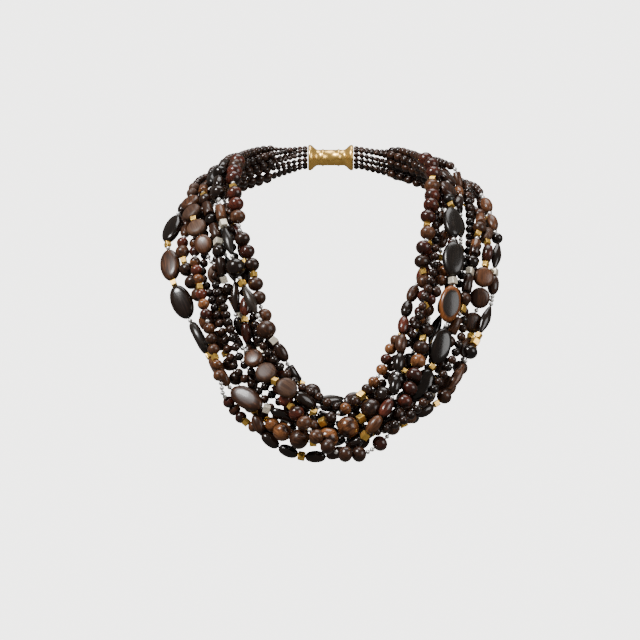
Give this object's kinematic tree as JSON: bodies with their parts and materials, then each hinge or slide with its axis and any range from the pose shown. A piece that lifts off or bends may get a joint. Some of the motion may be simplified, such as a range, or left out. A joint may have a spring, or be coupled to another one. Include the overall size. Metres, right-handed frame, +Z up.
{
  "type": "beaded necklace",
  "caption": "Multi-strand necklace of dark polished wood and horn beads with gold cube spacers and silver rounds, in worn form.",
  "frame": {"origin": "middle of the wearer's neck at the height of the nape, where the necklace is carried", "axes": "+Z up along the neck, front of the necklace towards -Y, its right side as seen from the front towards +X"},
  "size_m": [0.2417, 0.2265, 0.2268],
  "materials": {
    "dark_wood": "polished, near black",
    "brown_wood": "polished, brown",
    "red_wood": "polished, red-brown",
    "tan_wood": "polished, orange-brown with dark patches",
    "horn": "polished horn",
    "clasp_metal": "gold coloured"
  },
  "bodies": {
    "root": {"round_strand": "red_wood", "mixed_strand": "dark_wood", "bicone_strand": "horn", "tube_strand": "brown_wood", "coin_strand": "brown_wood", "oval_strand": "horn", "graduated_strand": "tan_wood", "small_round_strand": "tan_wood", "rice_strand": "brown_wood", "inner_strand": "dark_wood", "middle_strand": "dark_wood", "outer_strand": "dark_wood", "clasp": "clasp_metal"}
  },
  "joints": []
}
